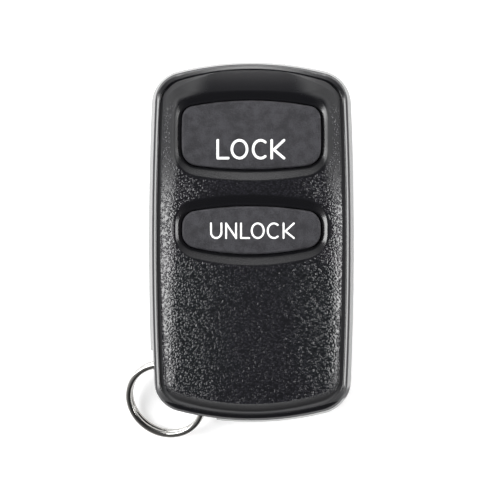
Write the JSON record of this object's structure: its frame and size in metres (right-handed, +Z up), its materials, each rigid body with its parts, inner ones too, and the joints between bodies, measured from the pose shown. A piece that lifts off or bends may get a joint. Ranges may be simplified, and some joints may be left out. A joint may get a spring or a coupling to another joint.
{
  "type": "car key fob",
  "caption": "Flat key fob with a grained case, lock and unlock push buttons that spring back, and a split key ring around a post in one corner.",
  "frame": {"origin": "the middle of the flat back face, where the case's centre lines cross", "axes": "+Z up from the back face, out through the buttons; +Y towards the end with the LOCK button; +X to the right seen from the front"},
  "size_m": [0.0382, 0.0629, 0.0114],
  "materials": {
    "case_plastic": "fine moulded grain, satin rim",
    "button_plastic": "smooth matte",
    "silicone": "smooth matte",
    "ring_steel": "polished nickel plate",
    "screw_steel": "zinc plate",
    "board_green": "solder mask",
    "chip_black": "moulded epoxy",
    "tin": "tin plate",
    "sheet_steel": "drawn sheet",
    "switch_black": "moulded nylon",
    "plunger_brown": "moulded",
    "seal_grey": "moulded gasket",
    "copper": "etched copper, clear lacquer",
    "ceramic_tan": "fired chip body",
    "ceramic_black": "coated chip body",
    "trimmer_brown": "moulded",
    "rotor_brass": "turned"
  },
  "bodies": {
    "case": {"battery_can": "sheet_steel", "battery_cap": "sheet_steel", "battery_negative_contact": "sheet_steel", "battery_positive_clip": "sheet_steel", "battery_seal": "seal_grey", "case_screw": "screw_steel", "chip_capacitors": "ceramic_tan", "chip_resistors": "ceramic_black", "circuit_board": "board_green", "encoder_chip": "chip_black", "encoder_chip_leads": "tin", "front_shell": "case_plastic", "keypad_membrane": "silicone", "lock_switch_base": "switch_black", "lock_switch_cover": "sheet_steel", "lock_switch_dome": "sheet_steel", "loop_antenna": "copper", "oscillator_transistor": "chip_black", "oscillator_transistor_leads": "tin", "rear_shell": "case_plastic", "resonator_base": "sheet_steel", "resonator_can": "sheet_steel", "trimmer_base": "trimmer_brown", "trimmer_rotor": "rotor_brass", "unlock_switch_base": "switch_black", "unlock_switch_cover": "sheet_steel", "unlock_switch_dome": "sheet_steel"},
    "lock_key": {"lock_button": "button_plastic"},
    "unlock_key": {"unlock_button": "button_plastic"},
    "lock_stem": {"lock_switch_plunger": "plunger_brown"},
    "unlock_stem": {"unlock_switch_plunger": "plunger_brown"},
    "key_ring": {"split_ring": "ring_steel"}
  },
  "joints": [
    {"name": "lock_press", "type": "slide", "parent": "case", "child": "lock_key", "axis": [0, 0, -1], "range_m": [0, 0.0005], "stiffness_N_per_m": 1600, "springref_m": -0.0004, "deforming": ["keypad_membrane"]},
    {"name": "lock_switch_press", "type": "slide", "parent": "case", "child": "lock_stem", "axis": [0, 0, -1], "range_m": [0, 0.00025], "deforming": ["lock_switch_dome"]},
    {"name": "unlock_press", "type": "slide", "parent": "case", "child": "unlock_key", "axis": [0, 0, -1], "range_m": [0, 0.0005], "stiffness_N_per_m": 1600, "springref_m": -0.0004, "deforming": ["keypad_membrane"]},
    {"name": "unlock_switch_press", "type": "slide", "parent": "case", "child": "unlock_stem", "axis": [0, 0, -1], "range_m": [0, 0.00025], "deforming": ["unlock_switch_dome"]},
    {"name": "ring_swing", "type": "hinge", "parent": "case", "child": "key_ring", "pos_m": [-0.013, -0.0244, 0.0051], "axis": [0, 0, 1], "range_deg": [-32, 22]}
  ],
  "couplings": [
    {"joint": "lock_switch_press", "follows": "lock_press", "ratio": 0.5},
    {"joint": "unlock_switch_press", "follows": "unlock_press", "ratio": 0.5}
  ]
}
